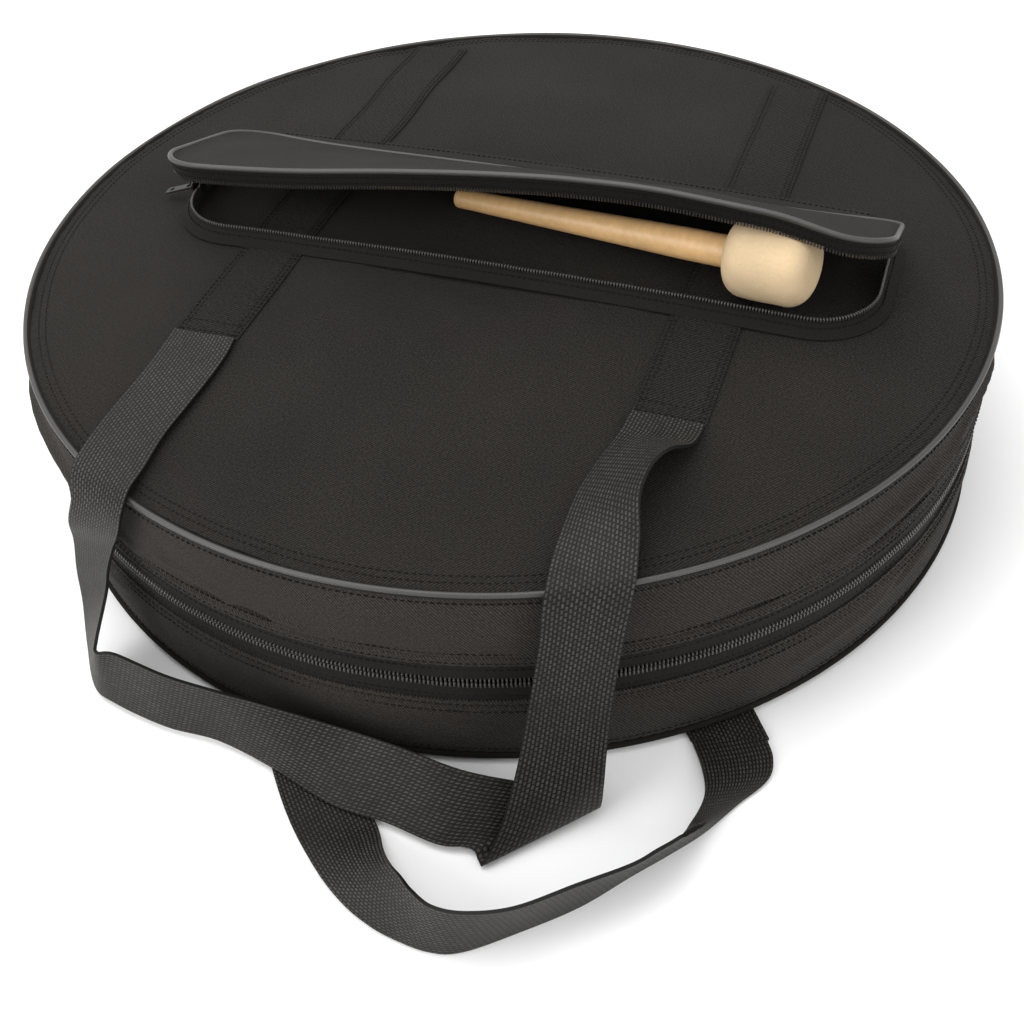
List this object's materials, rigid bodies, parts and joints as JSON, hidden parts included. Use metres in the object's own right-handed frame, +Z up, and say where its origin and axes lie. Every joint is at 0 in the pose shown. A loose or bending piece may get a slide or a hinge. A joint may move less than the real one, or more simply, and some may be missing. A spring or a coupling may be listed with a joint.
{
  "type": "drum carry case",
  "caption": "Round padded fabric carry case for a flat hand drum, with a zipped lid, two webbing handles and an open zipped pocket on the lid holding a felt beater.",
  "frame": {"origin": "centre of the flat underside that the case rests on", "axes": "+Z up through the lid; -Y the front, where the two carry handles are; +Y the rear, where the fabric hinge joins the lid to the base; +X the end of the beater pocket with the beater's head"},
  "size_m": [0.56, 0.6558, 0.1957],
  "materials": {
    "canvas": "woven black polyester, matt",
    "strap_cover": "finely woven black polyester strap, matt",
    "webbing": "black basket-weave webbing",
    "piping": "grey piping, satin",
    "foam": "grey padding, hidden",
    "lining": "smooth black lining",
    "tape": "black zip tape",
    "coil": "black coil zip",
    "slider_metal": "black painted slider",
    "wood": "light turned wood, satin",
    "felt": "cream felt"
  },
  "bodies": {
    "base": {"base_panel": "canvas", "base_foam": "foam", "base_lining": "lining", "base_piping": "piping", "base_wall_shell": "canvas", "base_wall_foam": "foam", "base_wall_lining": "lining", "base_zip_tape": "tape", "base_zip_coil": "coil", "base_strap_cover_left": "strap_cover", "base_strap_cover_right": "strap_cover", "base_handle_leg_left": "webbing", "base_handle_leg_right": "webbing", "hinge_panel": "canvas"},
    "lid": {"lid_panel": "canvas", "lid_foam": "foam", "lid_lining": "lining", "lid_piping": "piping", "lid_wall_shell": "canvas", "lid_wall_foam": "foam", "lid_wall_lining": "lining", "lid_zip_tape": "tape", "lid_zip_coil": "coil", "lid_strap_cover_left": "strap_cover", "lid_strap_cover_right": "strap_cover", "pocket_lip": "canvas", "pocket_lip_coil": "coil", "pocket_back_gusset": "canvas"},
    "pocket_flap": {"flap_panel": "canvas", "flap_piping": "piping", "flap_skirt": "canvas", "flap_coil": "coil"},
    "main_slider": {"main_slider": "slider_metal"},
    "main_pull": {"main_pull": "slider_metal"},
    "pocket_slider": {"pocket_slider": "slider_metal"},
    "pocket_pull": {"pocket_pull": "slider_metal"},
    "beater": {"beater_stick": "wood", "beater_core": "wood", "beater_felt": "felt"},
    "lid_handle": {"lid_handle": "webbing"},
    "base_handle": {"base_handle": "webbing"}
  },
  "joints": [
    {"name": "lid_hinge", "type": "hinge", "parent": "base", "child": "lid", "pos_m": [0, 0.2795, 0.061], "axis": [-1, 0, 0], "range_deg": [0, 110], "deforming": ["hinge_panel"]},
    {"name": "lid_handle_swing", "type": "hinge", "parent": "lid", "child": "lid_handle", "pos_m": [0, -0.1325, 0.1298], "axis": [-1, 0, 0], "range_deg": [0, 90]},
    {"name": "base_handle_swing", "type": "hinge", "parent": "base", "child": "base_handle", "pos_m": [0.08705, -0.2537, 0.0011], "axis": [-0.9504, -0.3111, 0], "range_deg": [0, 50]},
    {"name": "flap_hinge", "type": "hinge", "parent": "lid", "child": "pocket_flap", "pos_m": [0, 0.066, 0.13476], "axis": [-1, 0, 0], "range_deg": [0, 70]},
    {"name": "beater_slide", "type": "slide", "parent": "lid", "child": "beater", "axis": [-0.9996, 0, 0.03], "range_m": [0, 0.09]},
    {"name": "main_slider_travel", "type": "hinge", "parent": "base", "child": "main_slider", "pos_m": [0, 0, 0.061], "axis": [0, 0, -1], "range_deg": [0, 290]},
    {"name": "main_pull_swing", "type": "hinge", "parent": "main_slider", "child": "main_pull", "pos_m": [0.15694, 0.23267, 0.0608], "axis": [0.829, -0.5592, 0], "range_deg": [0, 100]},
    {"name": "pocket_slider_travel", "type": "hinge", "parent": "lid", "child": "pocket_slider", "pos_m": [-0.162, -0.006, 0.13], "axis": [-0.033, -0.0012, 0.9995], "range_deg": [0, 85]},
    {"name": "pocket_pull_swing", "type": "hinge", "parent": "pocket_slider", "child": "pocket_pull", "pos_m": [-0.20215, -0.006, 0.137], "axis": [0, 1, 0], "range_deg": [0, 60]}
  ],
  "couplings": [
    {"joint": "base_handle_swing", "follows": "lid_handle_swing", "ratio": 0.55}
  ]
}
